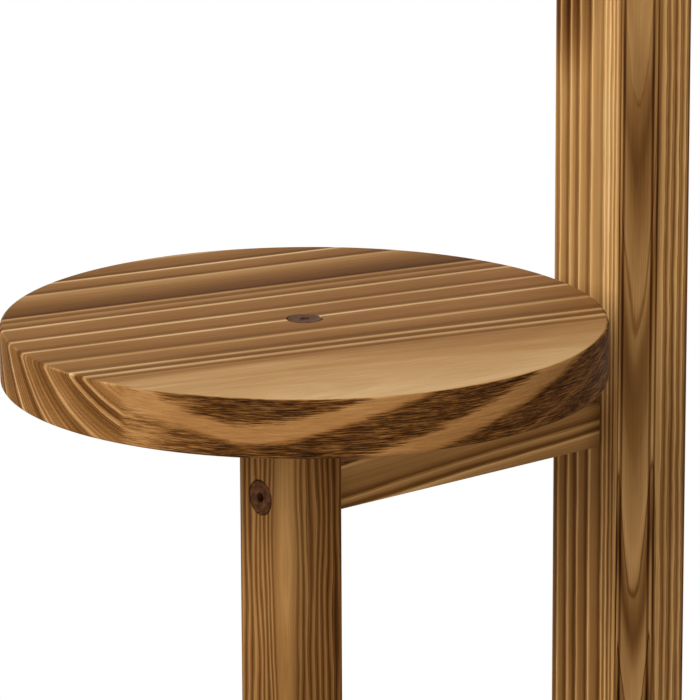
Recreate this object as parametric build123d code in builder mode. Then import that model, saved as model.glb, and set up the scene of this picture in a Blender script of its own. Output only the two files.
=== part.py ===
"""Tiered plant stand: a square main post with a round shelf on its top and four lower
round shelves on legs of their own, set around the post like a winding stair.

Millimetres, +Z up. The origin is on the floor, under the middle of the main post.
The rail of the second tier runs along X, from its leg at -X to the post.
"""

import os

from build123d import *

# Round shelves, the same board on every tier
disc_diameter = 250.0
disc_thickness = 24.0
disc_edge_round = 1.6

# Uprights
post_side = 42.0
post_corner_round = 2.0
leg_side = 32.0
leg_corner_round = 4.0
foot_chamfer = 1.0

# Rails between each leg and the main post
rail_width = 20.0
rail_height = 20.0
rail_corner_round = 1.5

# Places in plan and in height
overall_height = 1050.0
top_step = 250.0
rim_to_post_gap = 30.5
bolt_off_leg_axis = 8.0
rail_axis_below_disc = 48.0
foot_rail_axis_height = 60.0
foot_rail_stagger = 15.0
rail_spacing_on_shortest_leg = 68.0

# Flat-headed furniture bolts, size M6, and the holes that they need
bolt_diameter = 6.0
bolt_tip_chamfer = 0.8
head_diameter = 14.4
head_thickness = 2.4
head_edge_round = 0.6
socket_across_flats = 4.0
socket_depth = 2.8
bolt_hole_clearance = 0.6
head_recess_clearance = 0.8
bolt_end_clearance = 2.6

# Barrel nuts across the rail ends
nut_diameter = 10.0
nut_length = 14.0
nut_setback = 13.0
nut_edge_chamfer = 0.5
nut_slot_width = 1.4
nut_slot_depth = 1.8
thread_past_nut = 2.4
thread_clearance = 0.2
nut_fit_clearance = 0.2

# Threaded inserts in the tops of the uprights
insert_diameter = 9.0
insert_length = 15.0
insert_edge_chamfer = 0.5
thread_past_insert = 3.4

# Wooden dowels that stop each shelf from turning on its bolt
dowel_diameter = 6.0
dowel_in_disc = 11.0
dowel_in_upright = 13.0
dowel_from_bolt = 13.5
dowel_end_chamfer = 0.8
dowel_end_clearance = 1.0
glued_fit_clearance = 0.1

# Nylon glides nailed under the feet
glide_diameter = 20.0
glide_thickness = 4.0
glide_edge_round = 1.5
nail_diameter = 2.2
nail_head_diameter = 5.0
nail_head_thickness = 1.0
nail_in_foot = 14.0
nail_head_sink = 1.5
nail_fit_clearance = 0.2

# Sizes that follow from the ones above
disc_radius = disc_diameter / 2
disc_reach = post_side / 2 + rim_to_post_gap + disc_radius
leg_reach = disc_reach + bolt_off_leg_axis
rail_length = leg_reach - leg_side / 2 - post_side / 2
lowest_disc_top = (
    foot_rail_axis_height + rail_spacing_on_shortest_leg + rail_axis_below_disc + disc_thickness
)
bolt_hole_diameter = bolt_diameter + bolt_hole_clearance
head_recess_diameter = head_diameter + head_recess_clearance
bolt_in_rail = nut_setback + nut_diameter / 2 + thread_past_nut
leg_bolt_length = leg_side - head_thickness + bolt_in_rail
post_bolt_length = post_side - head_thickness + bolt_in_rail
bolt_in_upright = insert_length + thread_past_insert
disc_bolt_length = disc_thickness - head_thickness + bolt_in_upright
thread_bore_diameter = bolt_diameter + thread_clearance

# The side tiers, from the highest, each on the next face of the square post
faces_in_turn = (Vector(-1, 0, 0), Vector(0, -1, 0), Vector(1, 0, 0), Vector(0, 1, 0))
first_face = faces_in_turn[0]
side_tier_numbers = (2, 3, 4, 5)
lowest_tier = side_tier_numbers[-1]
tier_step = (overall_height - top_step - lowest_disc_top) / (len(side_tier_numbers) - 1)
side_tiers = []
for number, outward in zip(side_tier_numbers, faces_in_turn):
    side_tiers.append((number, outward, lowest_disc_top + tier_step * (lowest_tier - number)))


def upright_plane(outward, reach, height, turned_down=False):
    """A level plane at a distance from the post axis, its X pointing away from the post."""
    normal = (0, 0, -1) if turned_down else (0, 0, 1)
    place = outward * reach + Vector(0, 0, height)
    return Plane(origin=place, x_dir=outward, z_dir=normal)


def facing_plane(outward, reach, height, inward=False):
    """An upright plane at a distance from the post axis, facing away from the post or to it."""
    across = Vector(-outward.Y, outward.X, 0)
    place = outward * reach + Vector(0, 0, height)
    return Plane(origin=place, x_dir=across, z_dir=outward * (-1 if inward else 1))


def upper_rail_height(disc_top):
    return disc_top - disc_thickness - rail_axis_below_disc


def foot_rail_height(number):
    return foot_rail_axis_height + foot_rail_stagger * (lowest_tier - number)


def finish(builder, name):
    """Label a finished piece and write its file."""
    builder.part.label = name
    export_step(builder.part, f"parts/{name}.step")


def make_disc(name, outward, reach, disc_top):
    """A round shelf with its bolt hole in the middle and a blind dowel hole beside it."""
    with BuildPart() as disc:
        with BuildSketch(upright_plane(outward, reach, disc_top)):
            Circle(disc_radius)
        extrude(amount=-disc_thickness)
        fillet(disc.edges().filter_by(GeomType.CIRCLE), radius=disc_edge_round)
        with Locations(upright_plane(outward, reach, disc_top)):
            CounterBoreHole(
                radius=bolt_hole_diameter / 2,
                counter_bore_radius=head_recess_diameter / 2,
                counter_bore_depth=head_thickness,
                depth=disc_thickness,
            )
        underside = upright_plane(outward, reach + dowel_from_bolt, disc_top - disc_thickness, True)
        with Locations(underside):
            Hole(
                radius=(dowel_diameter + glued_fit_clearance) / 2,
                depth=dowel_in_disc + dowel_end_clearance,
            )
    finish(disc, name)


def drill_upright_top(outward, bolt_reach, top):
    """Holes in the end grain under a shelf: the insert, the bolt's tip and the dowel."""
    with Locations(upright_plane(outward, bolt_reach, top)):
        CounterBoreHole(
            radius=bolt_hole_diameter / 2,
            counter_bore_radius=(insert_diameter + glued_fit_clearance) / 2,
            counter_bore_depth=insert_length,
            depth=bolt_in_upright + bolt_end_clearance,
        )
    with Locations(upright_plane(outward, bolt_reach + dowel_from_bolt, top)):
        Hole(
            radius=(dowel_diameter + glued_fit_clearance) / 2,
            depth=dowel_in_upright + dowel_end_clearance,
        )


def drill_foot(outward, reach):
    """The nail's hole in the end grain of a foot."""
    with Locations(upright_plane(outward, reach, glide_thickness, True)):
        Hole(radius=(nail_diameter + nail_fit_clearance) / 2, depth=nail_in_foot + dowel_end_clearance)


def make_main_post():
    """The square main post, drilled through for the bolt of every rail."""
    top = overall_height - disc_thickness
    with BuildPart() as post:
        with BuildSketch(Plane.XY.offset(glide_thickness)):
            RectangleRounded(post_side, post_side, post_corner_round)
        extrude(amount=top - glide_thickness)
        chamfer(post.faces().sort_by(Axis.Z)[0].edges(), length=foot_chamfer)
        drill_upright_top(first_face, 0, top)
        drill_foot(first_face, 0)
        for number, outward, disc_top in side_tiers:
            for height in (upper_rail_height(disc_top), foot_rail_height(number)):
                with Locations(facing_plane(-outward, post_side / 2, height)):
                    CounterBoreHole(
                        radius=bolt_hole_diameter / 2,
                        counter_bore_radius=head_recess_diameter / 2,
                        counter_bore_depth=head_thickness,
                        depth=post_side,
                    )
    finish(post, "main_post")


def make_leg(number, outward, disc_top):
    """A leg of one tier, with the two bolt holes of its rails."""
    top = disc_top - disc_thickness
    with BuildPart() as leg:
        with BuildSketch(upright_plane(outward, leg_reach, glide_thickness)):
            RectangleRounded(leg_side, leg_side, leg_corner_round)
        extrude(amount=top - glide_thickness)
        chamfer(leg.faces().sort_by(Axis.Z)[0].edges(), length=foot_chamfer)
        drill_upright_top(outward, disc_reach, top)
        drill_foot(outward, leg_reach)
        for height in (upper_rail_height(disc_top), foot_rail_height(number)):
            with Locations(facing_plane(outward, leg_reach + leg_side / 2, height)):
                CounterBoreHole(
                    radius=bolt_hole_diameter / 2,
                    counter_bore_radius=head_recess_diameter / 2,
                    counter_bore_depth=head_thickness,
                    depth=leg_side,
                )
    finish(leg, f"tier_{number}_leg")


def make_rail(name, outward, height):
    """A rail between the post and a leg, drilled at both ends for a bolt and a barrel nut."""
    post_end = post_side / 2
    leg_end = post_end + rail_length
    with BuildPart() as rail:
        with BuildSketch(facing_plane(outward, post_end, height)):
            RectangleRounded(rail_width, rail_height, rail_corner_round)
        extrude(amount=rail_length)
        bolt_depth = bolt_in_rail + bolt_end_clearance
        with Locations(facing_plane(outward, post_end, height, True)):
            Hole(radius=bolt_hole_diameter / 2, depth=bolt_depth)
        with Locations(facing_plane(outward, leg_end, height)):
            Hole(radius=bolt_hole_diameter / 2, depth=bolt_depth)
        for reach in (post_end + nut_setback, leg_end - nut_setback):
            with Locations(upright_plane(outward, reach, height - rail_height / 2, True)):
                Hole(
                    radius=(nut_diameter + nut_fit_clearance) / 2,
                    depth=rail_height / 2 + nut_length / 2,
                )
    finish(rail, name)


def circles_of(builder, diameter):
    """The round edges of one diameter on a piece."""
    circles = builder.edges().filter_by(GeomType.CIRCLE)
    return circles.filter_by(lambda edge: abs(edge.radius - diameter / 2) < 0.01)


def make_bolts(name, head_planes, length):
    """Flat-headed bolts with a hexagon socket, one on each plane that their heads lie in."""
    hanging = (Align.CENTER, Align.CENTER, Align.MAX)
    with BuildPart() as bolts:
        with Locations(*head_planes):
            Cylinder(head_diameter / 2, head_thickness, align=hanging)
        fillet(circles_of(bolts, head_diameter), radius=head_edge_round)
        with Locations(*[plane.offset(-head_thickness) for plane in head_planes]):
            Cylinder(bolt_diameter / 2, length - bolt_tip_chamfer, align=hanging)
        tip_depth = head_thickness + length - bolt_tip_chamfer
        with Locations(*[plane.offset(-tip_depth) for plane in head_planes]):
            Cone(bolt_diameter / 2 - bolt_tip_chamfer, bolt_diameter / 2, bolt_tip_chamfer, align=hanging)
        with BuildSketch(*head_planes):
            RegularPolygon(socket_across_flats / 2, 6, major_radius=False)
        extrude(amount=-socket_depth, mode=Mode.SUBTRACT)
    finish(bolts, name)


def make_barrel_nuts(name, reach):
    """Slotted barrel nuts, one below the axis of every rail at the same reach from the post."""
    ends = []
    axes = []
    for number, outward, disc_top in side_tiers:
        for height in (upper_rail_height(disc_top), foot_rail_height(number)):
            ends.append(upright_plane(outward, reach, height - nut_length / 2, True))
            axes.append(facing_plane(outward, reach, height))
    with BuildPart() as nuts:
        with BuildSketch(*ends):
            Circle(nut_diameter / 2)
        extrude(amount=-nut_length)
        chamfer(circles_of(nuts, nut_diameter), length=nut_edge_chamfer)
        with BuildSketch(*axes):
            Circle(thread_bore_diameter / 2)
        extrude(amount=nut_diameter, both=True, mode=Mode.SUBTRACT)
        with BuildSketch(*ends):
            Rectangle(nut_diameter, nut_slot_width)
        extrude(amount=-nut_slot_depth, mode=Mode.SUBTRACT)
    finish(nuts, name)


def make_inserts(tops):
    """Threaded inserts, flush with the tops of the uprights."""
    with BuildPart() as inserts:
        with BuildSketch(*tops):
            Circle(insert_diameter / 2)
        extrude(amount=-insert_length)
        chamfer(circles_of(inserts, insert_diameter), length=insert_edge_chamfer)
        with BuildSketch(*tops):
            Circle(thread_bore_diameter / 2)
        extrude(amount=-insert_length, mode=Mode.SUBTRACT)
    finish(inserts, "disc_inserts")


def make_dowels(tops):
    """Wooden dowels, standing out of the uprights into the shelves."""
    with BuildPart() as dowels:
        with BuildSketch(*[top.offset(dowel_in_disc) for top in tops]):
            Circle(dowel_diameter / 2)
        extrude(amount=-(dowel_in_disc + dowel_in_upright))
        chamfer(circles_of(dowels, dowel_diameter), length=dowel_end_chamfer)
    finish(dowels, "disc_dowels")


def make_glide(name, outward, reach):
    """A round nylon glide with a sunk hole for its nail."""
    with BuildPart() as glide:
        with BuildSketch(upright_plane(outward, reach, 0)):
            Circle(glide_diameter / 2)
        extrude(amount=glide_thickness)
        fillet(glide.edges().sort_by(Axis.Z)[0], radius=glide_edge_round)
        with Locations(upright_plane(outward, reach, 0, True)):
            CounterBoreHole(
                radius=(nail_diameter + nail_fit_clearance) / 2,
                counter_bore_radius=(nail_head_diameter + nail_fit_clearance) / 2,
                counter_bore_depth=nail_head_sink + nail_head_thickness,
                depth=glide_thickness,
            )
    finish(glide, name)


def make_nails(floor_planes):
    """The nails of the glides, their heads sunk above the floor."""
    heads = [plane.offset(-nail_head_sink) for plane in floor_planes]
    shanks = [plane.offset(-nail_head_thickness) for plane in heads]
    shank_length = glide_thickness - nail_head_sink - nail_head_thickness + nail_in_foot
    with BuildPart() as nails:
        with BuildSketch(*heads):
            Circle(nail_head_diameter / 2)
        extrude(amount=-nail_head_thickness)
        with BuildSketch(*shanks):
            Circle(nail_diameter / 2)
        extrude(amount=-shank_length)
    finish(nails, "glide_nails")


os.makedirs("parts", exist_ok=True)

# Shelves, uprights and rails
make_disc("tier_1_disc", first_face, 0, overall_height)
make_main_post()
for number, outward, disc_top in side_tiers:
    make_disc(f"tier_{number}_disc", outward, disc_reach, disc_top)
    make_leg(number, outward, disc_top)
    make_rail(f"tier_{number}_upper_rail", outward, upper_rail_height(disc_top))
    make_rail(f"tier_{number}_foot_rail", outward, foot_rail_height(number))

# Bolts, nuts, inserts and dowels
shelves = [(first_face, 0, overall_height)]
leg_head_planes = []
post_head_planes = []
for number, outward, disc_top in side_tiers:
    shelves.append((outward, disc_reach, disc_top))
    for height in (upper_rail_height(disc_top), foot_rail_height(number)):
        leg_head_planes.append(facing_plane(outward, leg_reach + leg_side / 2, height))
        post_head_planes.append(facing_plane(-outward, post_side / 2, height))
bolt_tops = [upright_plane(outward, reach, top - disc_thickness) for outward, reach, top in shelves]
dowel_tops = []
for outward, reach, top in shelves:
    dowel_tops.append(upright_plane(outward, reach + dowel_from_bolt, top - disc_thickness))
make_bolts("disc_bolts", [upright_plane(*shelf) for shelf in shelves], disc_bolt_length)
make_bolts("leg_bolts", leg_head_planes, leg_bolt_length)
make_bolts("post_bolts", post_head_planes, post_bolt_length)
make_barrel_nuts("leg_end_nuts", post_side / 2 + rail_length - nut_setback)
make_barrel_nuts("post_end_nuts", post_side / 2 + nut_setback)
make_inserts(bolt_tops)
make_dowels(dowel_tops)

# Glides and their nails
make_glide("main_post_glide", first_face, 0)
floor_planes = [upright_plane(first_face, 0, 0, True)]
for number, outward, disc_top in side_tiers:
    make_glide(f"tier_{number}_glide", outward, leg_reach)
    floor_planes.append(upright_plane(outward, leg_reach, 0, True))
make_nails(floor_planes)
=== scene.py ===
"""Finishes, floor, light and camera of the tiered plant stand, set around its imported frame."""
import math

import bpy
from mathutils import Matrix, Vector

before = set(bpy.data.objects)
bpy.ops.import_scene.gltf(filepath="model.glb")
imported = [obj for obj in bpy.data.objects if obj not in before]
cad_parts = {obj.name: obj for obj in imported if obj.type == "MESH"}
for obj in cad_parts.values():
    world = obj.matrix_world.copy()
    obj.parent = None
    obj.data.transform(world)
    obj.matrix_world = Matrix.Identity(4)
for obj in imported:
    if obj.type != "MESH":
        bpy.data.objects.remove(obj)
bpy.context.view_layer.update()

MM = 0.001

# The stand's own sizes, in millimetres, as the frame has them. Directions are in degrees.
shelf_radius = 125.0
shelf_reach = 176.5
leg_half = 16.0
leg_reach = 184.5
tops = {1: 1050, 2: 800, 3: 600, 4: 400, 5: 200}
directions = {2: 180, 3: 270, 4: 0, 5: 90}
upper_rail_drop = 72
foot_rail_heights = {2: 105, 3: 90, 4: 75, 5: 60}

# The widest growth ring that ring_marks can measure, in millimetres.
widest_ring = 40.0

# Dry brushed wood hardly mirrors.
wood_shine = {"Specular IOR Level": 0.015}


def tint(red, green, blue):
    """Linear colour of a screen colour given in parts of 255."""
    parts = [c / 255 for c in (red, green, blue)]
    linear = [c / 12.92 if c < 0.04045 else ((c + 0.055) / 1.055) ** 2.4 for c in parts]
    return (*linear, 1.0)


class Amount:
    """A number, vector or colour of a finish. Arithmetic on it adds Math nodes."""

    def __init__(self, finish, socket):
        self.finish = finish
        self.socket = socket

    def math(self, operation, *terms):
        return self.finish.node("ShaderNodeMath", {"operation": operation}, dict(enumerate(terms)))

    def __add__(self, other):
        return self.math("ADD", self, other)

    def __sub__(self, other):
        return self.math("SUBTRACT", self, other)

    def __rsub__(self, other):
        return self.math("SUBTRACT", other, self)

    def __mul__(self, other):
        return self.math("MULTIPLY", self, other)

    def __truediv__(self, other):
        return self.math("DIVIDE", self, other)

    def __rtruediv__(self, other):
        return self.math("DIVIDE", other, self)

    def __abs__(self):
        return self.math("ABSOLUTE", self)

    __radd__ = __add__
    __rmul__ = __mul__

    def most(self, other):
        return self.math("MAXIMUM", self, other)

    def least(self, other):
        return self.math("MINIMUM", self, other)

    def power(self, exponent):
        return self.math("POWER", self, exponent)

    def rise(self, low, high):
        """0 below low and 1 above high, smooth between them."""
        settings = {"interpolation_type": "SMOOTHSTEP"}
        return self.finish.node("ShaderNodeMapRange", settings, {0: self, 1: low, 2: high})

    def fall(self, low, high):
        """1 below low and 0 above high, smooth between them."""
        return 1 - self.rise(low, high)

    def part(self, name):
        """Another output of the node that this amount comes from."""
        return Amount(self.finish, self.socket.node.outputs[name])


class Finish:
    """One material and the nodes that make it."""

    def __init__(self, name, tree=None):
        self.material = None
        if tree is None:
            self.material = bpy.data.materials.new(name)
            self.material.use_nodes = True
            tree = self.material.node_tree
        self.tree = tree
        self.tree.nodes.clear()

    def node(self, kind, settings=None, inputs=None, output=0):
        """A node of this kind with its settings, then its sockets' values or links."""
        made = self.tree.nodes.new(kind)
        for key, value in (settings or {}).items():
            if key == "stops":
                self.set_stops(made.color_ramp, value)
            else:
                setattr(made, key, value)
        for key, value in (inputs or {}).items():
            if isinstance(value, Amount):
                self.tree.links.new(value.socket, made.inputs[key])
            else:
                made.inputs[key].default_value = value
        return Amount(self, made.outputs[output]) if made.outputs else made

    @staticmethod
    def set_stops(ramp, stops):
        while len(ramp.elements) > 1:
            ramp.elements.remove(ramp.elements[-1])
        for number, (position, colour) in enumerate(stops):
            stop = ramp.elements.new(position) if number else ramp.elements[0]
            stop.position = position
            stop.color = colour

    def place(self, origin, turn=(0, 0, 0)):
        """The point shaded, in millimetres from origin, along the axes that turn gives."""
        here = self.node("ShaderNodeTexCoord", None, None, "Object")
        inputs = {
            "Vector": here,
            "Location": [c * MM for c in origin],
            "Rotation": turn,
            "Scale": (MM, MM, MM),
        }
        return self.node("ShaderNodeMapping", {"vector_type": "TEXTURE"}, inputs)

    def axes(self, place):
        """The three distances of a place."""
        split = self.node("ShaderNodeSeparateXYZ", None, {0: place})
        return [split.part(axis) for axis in "XYZ"]

    def length(self, place, kept):
        """Length of a place, each axis taken kept times."""
        flat = self.node("ShaderNodeVectorMath", {"operation": "MULTIPLY"}, {0: place, 1: kept})
        return self.node("ShaderNodeVectorMath", {"operation": "LENGTH"}, {0: flat}, "Value")

    def grain(self, place, sizes, seed, detail=2.0, roughness=0.5):
        """Noise from about -1 to 1 with features of these sizes, in millimetres."""
        scaled = {0: place, 1: [1 / s for s in sizes], 2: (seed * 7.3, seed * 3.1, seed * 5.7)}
        stretched = self.node("ShaderNodeVectorMath", {"operation": "MULTIPLY_ADD"}, scaled)
        inputs = {"Vector": stretched, "Scale": 1.0, "Detail": detail, "Roughness": roughness}
        noise = self.node("ShaderNodeTexNoise", {"noise_dimensions": "3D"}, inputs, "Fac")
        return noise * 4 - 2

    def hairlines(self, radius, width, seed):
        """Noise from about -1 to 1 that follows the growth rings, in lines of this width."""
        inputs = {"W": radius / width + seed * 13.7, "Scale": 1.0, "Detail": 2.0, "Roughness": 0.6}
        noise = self.node("ShaderNodeTexNoise", {"noise_dimensions": "1D"}, inputs, "Fac")
        return noise * 4 - 2

    def patch(self, middle, reach):
        """1 at middle and 0 from reach on. reach is along the three axes, in millimetres."""
        return self.length(self.place(middle), [1 / r for r in reach]).fall(0.3, 1.0)

    def shades(self, tone, tints):
        """Colour of a tone between 0 and 1, from the darkest tint to the palest."""
        return self.node("ShaderNodeValToRGB", {"stops": tints}, {0: tone})

    def level(self, amount, stops):
        """A value read off a ramp. stops are pairs of an amount and the value there."""
        first, last = stops[0][0], stops[-1][0]
        greys = [((at - first) / (last - first), (value, value, value, 1)) for at, value in stops]
        share = (amount - first) / (last - first)
        # The product with 1 turns the ramp's grey into a number.
        return self.node("ShaderNodeValToRGB", {"stops": greys}, {0: share}) * 1

    def blend(self, share, first, second):
        """A colour between two colours."""
        inputs = {0: share, 6: first, 7: second}
        return self.node("ShaderNodeMix", {"data_type": "RGBA"}, inputs, 2)

    def seen(self):
        """1 for what the camera sees, also in a mirror or through a pane, and 0 for lighting."""
        ray = self.node("ShaderNodeLightPath")
        mirrored = ray.part("Is Glossy Ray").most(ray.part("Is Transmission Ray"))
        return ray.part("Is Camera Ray").most(mirrored)

    def surface(self, colour, roughness, height=None, relief=0.0, **plain):
        """The finish's surface. height lifts it by up to relief millimetres."""
        inputs = {"Base Color": colour, "Roughness": roughness, **plain}
        if height is not None:
            bump = {"Height": height, "Strength": 1.0, "Distance": relief * MM}
            inputs["Normal"] = self.node("ShaderNodeBump", None, bump)
        shader = self.node("ShaderNodeBsdfPrincipled", None, inputs)
        self.node("ShaderNodeOutputMaterial", None, {"Surface": shader})
        return self.material


shelf_tints = (
    (0.00, tint(36, 18, 6)),
    (0.20, tint(80, 48, 19)),
    (0.35, tint(112, 73, 34)),
    (0.50, tint(146, 102, 57)),
    (0.65, tint(177, 135, 85)),
    (0.80, tint(207, 170, 121)),
    (1.00, tint(236, 206, 162)),
)
upright_tints = (
    (0.00, tint(38, 19, 5)),
    (0.20, tint(77, 44, 16)),
    (0.35, tint(104, 68, 32)),
    (0.50, tint(131, 91, 48)),
    (0.62, tint(152, 112, 65)),
    (0.74, tint(177, 134, 81)),
    (0.88, tint(211, 168, 110)),
    (1.00, tint(236, 205, 152)),
)

# Growth rings from the pith outwards: outer radius in millimetres, how bright its last
# band is, and how far the ring runs from dark to light.
shelf_rings = (
    (58.0, 0.0, 0.0),
    (99.7, 0.0, 0.0),
    (104.0, 0.85, 0.0),
    (108.6, 0.7, 0.0),
    (120.5, 0.5, 0.1),
    (135.4, 1.0, 0.0),
    (149.6, 0.9, 0.0),
    (165.3, 0.9, 0.0),
    (172.6, 0.25, 0.0),
    (179.1, 0.6, 0.0),
    (207.6, 0.15, 1.0),
    (222.7, 0.9, 0.2),
    (240.0, 0.5, 0.3),
    (262.0, 0.5, 0.3),
)
post_rings = (
    (22.0, 0.0, 0.3),
    (27.9, 0.0, 0.2),
    (30.5, 0.2, 0.5),
    (33.9, 0.7, 0.6),
    (35.9, 0.6, 0.9),
    (38.5, 0.8, 0.9),
    (41.0, 0.9, 0.5),
    (49.2, 1.0, 0.9),
    (56.6, 0.9, 1.0),
    (62.5, 0.9, 1.0),
    (68.9, 0.9, 1.0),
    (72.3, 0.45, 0.7),
    (73.7, 0.2, 0.4),
    (75.6, 0.3, 0.5),
    (78.2, 0.3, 0.5),
    (84.0, 0.5, 0.7),
)
leg_rings = (
    (18.0, 0.0, 1.0),
    (28.8, 0.0, 0.8),
    (31.6, 0.5, 0.8),
    (34.2, 0.5, 0.9),
    (37.3, 0.5, 0.8),
    (40.0, 0.4, 0.9),
    (43.2, 0.5, 0.8),
    (46.4, 0.4, 0.9),
    (50.0, 0.5, 0.9),
    (53.2, 0.4, 0.8),
    (57.5, 0.5, 0.9),
    (61.0, 0.5, 0.8),
    (66.0, 0.5, 0.8),
    (74.0, 0.5, 0.8),
)
rail_rings = (
    (48.0, 0.3, 0.7),
    (58.0, 0.4, 0.8),
    (70.6, 0.5, 1.0),
    (75.0, 0.3, 1.0),
    (88.0, 0.5, 0.8),
    (99.0, 0.4, 0.7),
)

# Scorching of a shelf's front edge: ring radius in millimetres, and how light it is there.
front_bands = (
    (84.0, 0.0),
    (90.6, 0.0),
    (92.8, 1.0),
    (98.6, 1.0),
    (100.6, 0.0),
    (113.0, 0.0),
    (115.6, 1.0),
    (122.2, 0.85),
    (124.6, 0.0),
    (134.6, 0.05),
    (135.6, 0.5),
    (136.8, 0.0),
    (147.0, 0.05),
    (148.0, 0.4),
    (149.4, 0.0),
    (164.0, 0.0),
)


def board_turn(along, up):
    """Turn of a board whose length runs along and whose face looks up."""
    length = Vector(along).normalized()
    side = Vector(up).cross(length).normalized()
    face = length.cross(side)
    return Matrix((length, side, face)).transposed().to_euler()


def ring_marks(wood, radius, rings):
    """How far it is, in millimetres, in to the last ring's edge and out to the next one,
    with the brightness of the band and the run from dark to light of the ring."""
    first = rings[0][0]
    span = rings[-1][0] - first
    gap = span / 600
    stops = []
    for (inner, _, _), (outer, line, swing) in zip(rings, rings[1:]):
        width = (outer - inner) / widest_ring
        stops.append(((inner + gap - first) / span, (0.0, min(width, 1.0), line, swing)))
        stops.append(((outer - gap - first) / span, (min(width, 1.0), 0.0, line, swing)))
    ramp = wood.node("ShaderNodeValToRGB", {"stops": stops}, {0: (radius - first) / span})
    split = wood.node("ShaderNodeSeparateColor", None, {0: ramp})
    inward = split.part("Red") * widest_ring
    outward = split.part("Green") * widest_ring
    return inward, outward, split.part("Blue"), ramp.part("Alpha")


def front_field(length_way, lift, dip):
    """Ring radius on a shelf's scorched front edge, where the rings sag to their lowest at dip."""
    lowest, blunt = 78.4, 3.0
    right = (length_way - dip).most(0) * 0.3
    left = (dip - length_way).most(0) * 0.41
    arm = right + left
    return lowest - lift + (arm * arm + blunt * blunt).power(0.5)


def shelf_finish(name, middle, top, heading, seed, dip,
                 pith_across=100.3, pith_above=87.5, climb=0.037):
    """Scorched and brushed pine of a round shelf, sawn below its tree's pith and to one side.
    heading is the grain's direction in degrees, and the pith climbs along it. dip is where
    the rings are lowest on the scorched front edge. Lengths are in millimetres."""
    wood = Finish(name)
    turn = math.radians(heading)
    along = Vector((math.cos(turn), math.sin(turn), 0))
    across = Vector((math.sin(turn), -math.cos(turn), 0))
    centre = Vector((*middle, top))
    pith = centre + across * pith_across + Vector((0, 0, pith_above))
    tree = wood.place(pith, board_turn(along + Vector((0, 0, climb)), (0, 0, 1)))
    shelf = wood.place(centre, (0, 0, turn))
    length_way, side_way, lift = wood.axes(shelf)
    front = side_way * -1
    radial = wood.length(shelf, (1, 1, 0))
    rim = radial.rise(shelf_radius - 1.7, shelf_radius - 0.5)
    # How far in front of the middle the plain wood and the scorched edge begin.
    plain_start, char_start = 50, 56

    drift = wood.grain(tree, (260, 60, 60), seed, 1.0)
    ripple = wood.grain(tree, (60, 9, 9), seed + 1, 2.0)
    fibre = wood.grain(tree, (38, 0.7, 0.7), seed + 2, 3.0, 0.65)
    cloud = wood.grain(tree, (90, 18, 18), seed + 3, 2.0)
    brush = wood.grain(shelf, (13, 13, 0.5), seed + 4, 3.0, 0.7)
    scorch = wood.grain(shelf, (26, 26, 3), seed + 5, 2.0)
    fine_brush = wood.grain(shelf, (7, 7, 0.3), seed + 6, 3.0, 0.7)

    radius = wood.length(tree, (0, 1, 1)) + drift * 0.5 + ripple * 0.16
    inward, outward, line, swing = ring_marks(wood, radius, shelf_rings)
    ring = inward / (inward + outward + 0.001)
    hair = wood.hairlines(radius, 1.6, seed)

    # The flat top: pale bands at the rings' ends, dark troughs behind them, a pale front.
    band = outward.fall(1.0, 3.0) * line * (1 + cloud * 0.3)
    trough = inward.rise(0.1, 0.8) * inward.fall(0.9, 4.5)
    plain_full = length_way.rise(-60, 60) * 34 + 56
    pale = front.rise(plain_start, plain_full) * 0.14 + front.rise(60, 122) * 0.12
    pale = pale + front.rise(plain_start, 58) * length_way.fall(-60, 50) * 0.02
    run = swing * (ring.power(1.6) * 0.34 - 0.16) + ring * 0.05
    soft = fibre * 0.05 + cloud * 0.03 + hair * 0.025
    face_tone = 0.46 + run + band * 0.28 - trough * 0.09 + pale + soft

    # The edge: rings as on the top, and in front the scorched bands with their streaks.
    side_tone = 0.37 + ring * 0.10 + band * 0.17 - trough * 0.12 + soft + hair * 0.11
    sag = front_field(length_way, lift, dip) + brush * 1.7 + scorch
    light = wood.level(sag, front_bands)
    bare = length_way.fall(dip - 30, dip - 8) * (0.85 + brush * 0.7)
    light = light + (1 - light) * bare.most(0).least(1)
    char = 0.02 + (brush * 0.6 + fine_brush * 0.8).rise(-0.45, 0.6) * 0.36 + scorch * 0.05
    front_tone = char + (0.505 - char + brush * 0.05 + fine_brush * 0.06 + cloud * 0.04) * light
    edge_tone = side_tone + (front_tone - side_tone) * front.rise(char_start, char_start + 5)
    tone = face_tone + (edge_tone - face_tone) * rim
    # A thin paler line round the rounded top rim: painted highlight of the rounded edge, and
    # rubbed scorching.
    rim_sheen_and_wear = radial.rise(shelf_radius - 1.6, shelf_radius - 1.0)
    rim_sheen_and_wear = rim_sheen_and_wear * radial.fall(shelf_radius - 0.6, shelf_radius - 0.2)
    tone = tone + rim_sheen_and_wear * cloud.rise(-0.2, 0.5) * 0.16

    colour = wood.shades(tone, shelf_tints)
    height = band * 0.5 + fibre * 0.12 + rim * (brush * 0.22 + light * 0.25) + ring * 0.25
    gloss = 0.68 - band * 0.1 + fibre * 0.05
    return wood.surface(colour, gloss, height, 0.35, **wood_shine)


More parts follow.
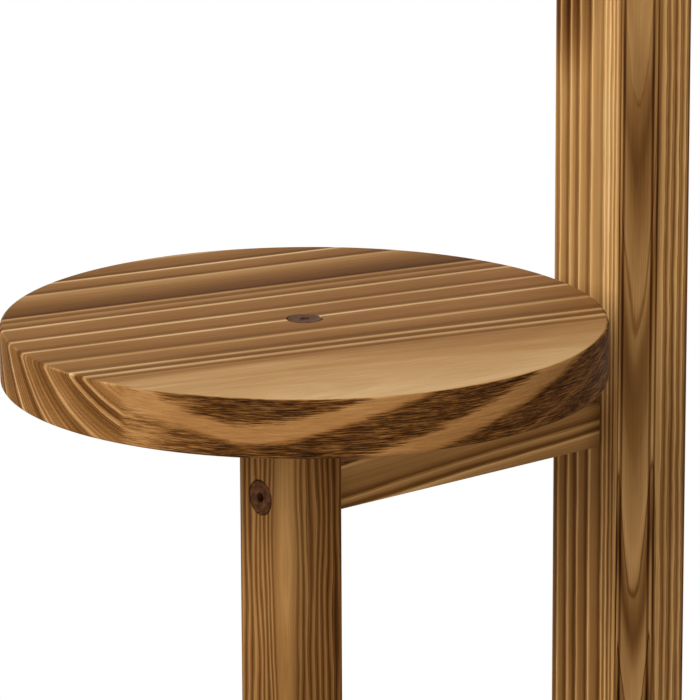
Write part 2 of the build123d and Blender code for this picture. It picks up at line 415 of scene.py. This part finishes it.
def upright_finish(name, pith, up, rings, seed, along=(0, 0, 1), lean=0.0, tongue_height=0.0,
                   pull=1.0, contrast=1.0, pale=0.0, deepen=0.0, burns=(), checks=()):
    """Scorched and brushed pine of a post, leg or rail. pith is a point on its tree's middle.
    lean makes the inner rings taper along the grain, from tongue_height on. pull is how far
    the rings wave, pale how much paler the wood is, and deepen how much darker it gets away
    from the pith. The patches, each with its middle, reach and darkness, darken or pale the
    wood; on the legs they are painted shade and painted light. checks are fine cracks, each
    with its ring radius and how far it goes sideways."""
    wood = Finish(name)
    tree = wood.place(pith, board_turn(along, up))
    length_way, side_way, depth_way = wood.axes(tree)
    drift = wood.grain(tree, (240, 40, 40), seed, 1.0)
    wave = wood.grain(tree, (70, 13, 13), seed + 1, 1.0)
    ripple = wood.grain(tree, (20, 2.2, 2.2), seed + 2, 2.0)
    fibre = wood.grain(tree, (45, 0.5, 0.5), seed + 3, 3.0, 0.65)
    scorch = wood.grain(tree, (120, 12, 12), seed + 4, 2.0)

    true_radius = wood.length(tree, (0, 1, 1))
    # Only the rings inside about 32 mm taper, and they wave less, so that tongues stay smooth.
    taper = true_radius.fall(31.2, 33.4) * lean
    radius = true_radius - taper * (length_way - tongue_height)
    radius = radius + (drift * 0.5 + wave * 0.45) * pull + ripple * (0.22 - taper * 6)
    inward, outward, line, swing = ring_marks(wood, radius, rings)
    ring = inward / (inward + outward + 0.001)
    hair = wood.hairlines(radius, 1.1, seed)

    band = (outward.fall(0.1, 2.1) * ring.rise(0.3, 0.75) + inward.fall(0, 0.6) * 0.5) * line
    trough = inward.rise(0.2, 0.9) * inward.fall(1.0, 3.4) * ring.fall(0.3, 0.7) * swing
    tone = 0.50 + (swing * (ring - 0.5) * 0.10 + band * 0.24 - trough * 0.17) * contrast
    heart = true_radius.fall(26, 31) * 0.08
    tone = tone + fibre * 0.05 + scorch * 0.06 + hair * 0.03 + heart + pale
    if deepen:
        tone = tone - depth_way.rise(16, 62) * deepen
    # Patches that darken or pale the wood: scorch marks, and on the legs painted shade and painted
    # light.
    for middle, reach, strength in burns:
        burn = wood.patch(middle, reach) * (strength + scorch * 0.4 * abs(strength))
        tone = tone - burn * (1 - band * 0.7)
    for check, edge in checks:
        crack = abs(true_radius - check).fall(0.08, 0.3)
        tone = tone - crack * side_way.fall(edge, edge + 1) * 0.36
    colour = wood.shades(tone, upright_tints)
    height = ring * 0.5 + band * 0.3 + fibre * 0.12
    gloss = 0.64 - band * 0.08 + fibre * 0.05
    return wood.surface(colour, gloss, height, 0.3, **wood_shine)


def bronze_finish():
    """Dark bronze plating of the bolt heads, satin and a little mottled."""
    metal = Finish("dark bronze plating")
    here = metal.place((0, 0, 0))
    mottle = metal.grain(here, (3.0, 3.0, 3.0), 3.0, 3.0, 0.6)
    speck = metal.grain(here, (0.5, 0.5, 0.5), 4.0, 2.0)
    tone = mottle * 0.7 + speck * 0.3
    colour = metal.blend(tone.rise(-0.7, 0.8), tint(54, 30, 15), tint(104, 66, 40))
    return metal.surface(colour, 0.62 + speck * 0.06, tone, 0.03, **{"Specular IOR Level": 0.03})


def zinc_finish():
    """Bright zinc plating with a faint cloudiness."""
    metal = Finish("zinc plating")
    here = metal.place((0, 0, 0))
    cloud = metal.grain(here, (2.5, 2.5, 2.5), 5.0, 3.0)
    scratch = metal.grain(here, (6.0, 0.3, 0.3), 6.0, 2.0)
    colour = metal.blend(cloud.rise(-0.8, 0.8), tint(168, 170, 172), tint(206, 206, 202))
    return metal.surface(colour, 0.42 + scratch * 0.07, scratch, 0.01, **{"Metallic": 1.0})


def nylon_finish():
    """Matt brown nylon with a fine moulded grain."""
    plastic = Finish("brown nylon")
    here = plastic.place((0, 0, 0))
    grain = plastic.grain(here, (0.35, 0.35, 0.35), 7.0, 2.0)
    scuff = plastic.grain(here, (5.0, 5.0, 2.0), 8.0, 3.0)
    colour = plastic.blend(scuff.rise(-0.5, 1.0), tint(58, 42, 32), tint(92, 72, 58))
    return plastic.surface(colour, 0.6 + scuff * 0.06, grain, 0.02)


def dowel_finish():
    """Plain beech with its fine flecks."""
    beech = Finish("beech dowel")
    here = beech.place((0, 0, 0))
    fleck = beech.grain(here, (0.5, 0.5, 4.0), 9.0, 2.0)
    band = beech.grain(here, (3.0, 3.0, 30.0), 10.0, 2.0)
    tone = band * 0.6 + fleck * 0.4
    colour = beech.blend(tone.rise(-0.8, 0.8), tint(176, 136, 92), tint(222, 192, 150))
    return beech.surface(colour, 0.62 + fleck * 0.04, fleck, 0.02)


def wear(node, material):
    """Give a CAD node its finish."""
    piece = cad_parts[node]
    piece.data.materials.clear()
    piece.data.materials.append(material)


# Each shelf's direction of grain, in degrees, and the dip of the rings on its front edge.
headings = {1: 24.0, 2: -11.55, 3: 78.0, 4: 166.0, 5: -102.0}
dips = {1: 20.0, 2: -77.0, 3: -30.0, 4: 45.0, 5: -55.0}

# How far the leg's pith is off its two outer faces, and where the rail's pith is from the
# rail: along the rail, to its side and below it.
leg_pith_gap = 17.7
rail_pith_along, rail_pith_aside, rail_pith_below = 95, -25, 68

wear("tier_1_disc", shelf_finish(
    "pine of shelf 1", (0, 0), tops[1], headings[1], 11.0, dips[1],
    pith_across=88.0, pith_above=96.0, climb=-0.02))
for tier, degrees in directions.items():
    angle = math.radians(degrees)
    out = Vector((math.cos(angle), math.sin(angle), 0))
    side = Vector((-math.sin(angle), math.cos(angle), 0))
    middle = (out * shelf_reach).xy
    wear(f"tier_{tier}_disc", shelf_finish(
        f"pine of shelf {tier}", middle, tops[tier], headings[tier], 20.0 + tier, dips[tier]))

    pith_aside = leg_half + leg_pith_gap
    leg_pith = out * (leg_reach + pith_aside) + side * pith_aside
    # The outer face is painted a little darker than the rest: painted shade. The corner that the
    # pith is nearest to is painted paler just under the shelf, where the shelf's shadow falls, and
    # darker
    # farther down, where the lamp reaches: painted light and painted shade.
    outer_face_painted_shade = (out * (leg_reach + leg_half), [40 - 35 * abs(c) for c in out.xy] + [1500], 0.07)
    corner = (out + side) * leg_half + out * leg_reach
    painted_light_under_shelf = (corner + Vector((0, 0, tops[tier] - 40)), (12, 12, 120), -0.08)
    painted_shade_low_on_corner = (corner + Vector((0, 0, tops[tier] - 180)), (34, 34, 95), 0.06)
    wear(f"tier_{tier}_leg", upright_finish(
        f"pine of leg {tier}", leg_pith, out * -1, leg_rings, 30.0 + tier,
        pull=3.4, deepen=0.24, burns=(outer_face_painted_shade, painted_light_under_shelf, painted_shade_low_on_corner)))

    rails = {"upper": tops[tier] - upper_rail_drop, "foot": foot_rail_heights[tier]}
    for place, height in rails.items():
        rail_pith = out * rail_pith_along + side * rail_pith_aside
        rail_pith = rail_pith + Vector((0, 0, height - rail_pith_below))
        wear(f"tier_{tier}_{place}_rail", upright_finish(
            f"pine of {place} rail {tier}", rail_pith, (0, 0, 1), rail_rings,
            40.0 + tier + height / 90, along=out * -1 + Vector((0, 0, 0.056)),
            contrast=1.4, pale=0.075))

# Patches of the post round the second shelf's height. A negative darkness is paler.
post_burns = (
    ((-21, 13, 930), (14, 26, 62), 0.30),
    ((-8, -21, 850), (13, 14, 60), 0.13),
    ((-21, 0, 855), (12, 44, 150), -0.17),
    ((-21, -13.5, 890), (7, 7, 260), -0.17),
    ((6, -21, 760), (34, 10, 420), -0.06),
    ((-8, -21, 950), (15, 10, 110), -0.16),
)
wear("main_post", upright_finish(
    "pine of the post", (-10, -51, 0), (1, 0, 0), post_rings, 50.0,
    lean=0.027, tongue_height=800.5, pull=0.4, contrast=1.2,
    burns=post_burns, checks=((31.15, 40), (32.05, 40))))

bronze = bronze_finish()
zinc = zinc_finish()
nylon = nylon_finish()
for node in ("disc_bolts", "leg_bolts", "post_bolts"):
    wear(node, bronze)
for node in ("leg_end_nuts", "post_end_nuts", "disc_inserts", "glide_nails"):
    wear(node, zinc)
for node in ("main_post_glide", *(f"tier_{tier}_glide" for tier in directions)):
    wear(node, nylon)
wear("disc_dowels", dowel_finish())


def floor_finish():
    """Pale floor that keeps the stand's shadow and fades to the white background."""
    floor = Finish("pale floor")
    here = floor.place((0, 0, 0))
    far = floor.length(here, (1, 1, 0)).rise(450, 1500)
    speckle = floor.grain(here, (4, 4, 4), 12.0, 3.0)
    colour = floor.blend(speckle.rise(-1, 1), tint(238, 237, 235), tint(246, 245, 243))
    lit = floor.node("ShaderNodeBsdfDiffuse", None, {"Color": colour, "Roughness": 0.6})
    white = floor.node("ShaderNodeEmission", None, {"Color": (1, 1, 1, 1), "Strength": 1.0})
    shown = floor.node("ShaderNodeMixShader", None, {0: far * floor.seen(), 1: lit, 2: white})
    floor.node("ShaderNodeOutputMaterial", None, {"Surface": shown})
    return floor.material


bpy.ops.mesh.primitive_circle_add(vertices=96, radius=14.0, fill_type="NGON", location=(0, 0, 0))
floor_piece = bpy.context.object
floor_piece.name = "floor"
floor_piece.data.materials.append(floor_finish())


def sky():
    """Plain soft light from all round, and a white background where it is seen."""
    world = bpy.data.worlds.new("studio")
    bpy.context.scene.world = world
    world.use_nodes = True
    air = Finish("studio", world.node_tree)
    light = air.node("ShaderNodeBackground", None, {"Color": (1, 1, 1, 1), "Strength": 0.42})
    white = air.node("ShaderNodeBackground", None, {"Color": (1, 1, 1, 1), "Strength": 1.0})
    shown = air.node("ShaderNodeMixShader", None, {0: air.seen(), 1: light, 2: white})
    air.node("ShaderNodeOutputWorld", None, {"Surface": shown})


def soft_lamp(name, place, aim, size, power):
    """A square soft box at place that faces aim."""
    lamp = bpy.data.lights.new(name, "AREA")
    lamp.shape = "SQUARE"
    lamp.size = size
    lamp.energy = power
    holder = bpy.data.objects.new(name, lamp)
    bpy.context.scene.collection.objects.link(holder)
    holder.location = place
    holder.rotation_euler = (Vector(aim) - Vector(place)).to_track_quat("-Z", "Y").to_euler()


sky()
stand_middle = (0, 0, 0.6)
soft_lamp("key soft box", (-2.8, -0.95, 2.35), stand_middle, 1.6, 104.0)
soft_lamp("fill soft box", (1.6, -2.6, 1.8), stand_middle, 2.0, 16.0)
soft_lamp("back soft box", (2.2, 2.4, 2.2), stand_middle, 2.0, 22.0)

camera_data = bpy.data.cameras.new("camera")
camera_data.sensor_width = 36.0
camera_data.lens = 247.43
camera_data.shift_x = -0.1143
camera_data.shift_y = -0.1
camera_data.clip_end = 60.0
camera = bpy.data.objects.new("camera", camera_data)
bpy.context.scene.collection.objects.link(camera)
camera_yaw = 0.705
camera_drop = 0.2469
camera.location = (-1.3761, -1.4893, 1.2981)
camera.rotation_euler = (math.pi / 2 - camera_drop, 0, -camera_yaw)
bpy.context.scene.camera = camera
bpy.context.scene.view_settings.view_transform = "Standard"
